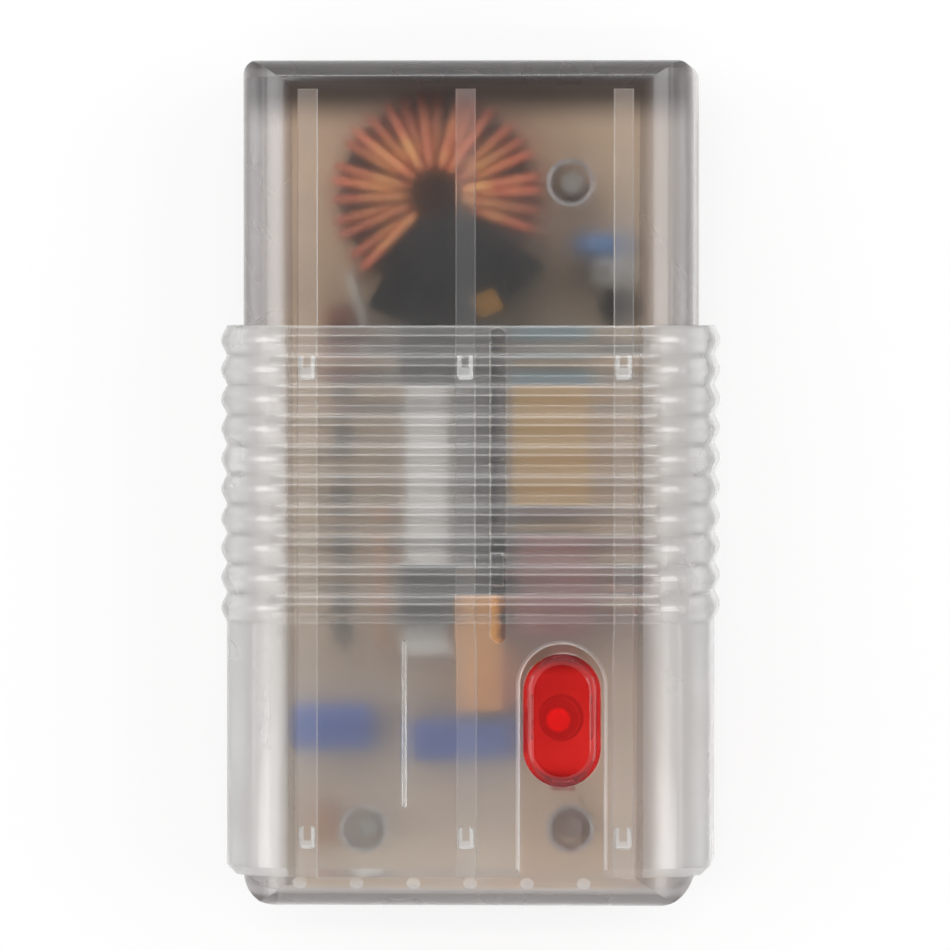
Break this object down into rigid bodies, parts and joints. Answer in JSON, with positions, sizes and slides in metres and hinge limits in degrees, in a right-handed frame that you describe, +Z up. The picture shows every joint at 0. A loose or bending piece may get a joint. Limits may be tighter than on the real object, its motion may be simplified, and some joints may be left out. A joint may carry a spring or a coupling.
{
  "type": "electronic transformer",
  "caption": "Floor-standing electronic transformer in a clear smoky case, with a ribbed clear sleeve that slides along it as a foot dimmer and a red pilot lens.",
  "frame": {"origin": "on the floor, below the middle of the case", "axes": "+X across the case towards the lens side, +Y along the case from the mains end to the ring transformer end, +Z up"},
  "size_m": [0.0618, 0.105, 0.0293],
  "materials": {
    "case_plastic": "clear smoky plastic, lightly frosted",
    "sleeve_plastic": "clear plastic, satin",
    "lens_red": "glossy translucent red",
    "lamp_red": "clear red resin",
    "arm_black": "moulded black",
    "can_steel": "tinned sheet steel",
    "tinned_wire": "tinned",
    "screw_steel": "zinc plated",
    "board_tan": "phenolic paper board",
    "ferrite": "sintered dark grey",
    "copper": "enamelled copper wire",
    "shroud_black": "moulded black",
    "sink_aluminium": "bent sheet",
    "resin_black": "moulded resin",
    "can_black": "sleeved can",
    "box_yellow": "moulded box",
    "box_tan": "moulded box",
    "box_blue": "moulded box",
    "box_teal": "dipped resin",
    "resin_brown": "dipped resin",
    "resin_blue": "dipped resin",
    "terminal_white": "moulded",
    "resistor_beige": "lacquered",
    "fuse_orange": "lacquered"
  },
  "bodies": {
    "case": {"base_shell": "case_plastic", "cover_shell": "case_plastic", "pilot_lens": "lens_red", "pilot_lamp": "lamp_red", "potentiometer_can": "can_steel", "pilot_lamp_legs": "tinned_wire", "transistor_leads": "tinned_wire", "case_screws": "screw_steel", "circuit_board": "board_tan", "toroid_core": "ferrite", "driver_core": "ferrite", "choke_core": "ferrite", "toroid_winding": "copper", "driver_winding": "copper", "choke_winding": "copper", "primary_winding": "copper", "toroid_shroud": "shroud_black", "heat_sink": "sink_aluminium", "power_transistors": "resin_black", "rectifier_diodes": "resin_black", "timing_capacitor": "can_black", "resonance_capacitor": "box_yellow", "snubber_capacitor": "box_tan", "bridge_capacitor": "box_blue", "mains_capacitor": "box_blue", "coupling_capacitor": "box_teal", "smoothing_capacitor": "resin_brown", "disc_capacitor": "resin_blue", "lamp_terminal": "terminal_white", "resistors": "resistor_beige", "input_fuse": "fuse_orange"},
    "sleeve": {"slider_sleeve": "sleeve_plastic", "dimmer_arm": "arm_black", "potentiometer_wiper": "arm_black"}
  },
  "joints": [
    {"name": "sleeve_slide", "type": "slide", "parent": "case", "child": "sleeve", "axis": [0, 1, 0], "range_m": [0, 0.026]}
  ]
}
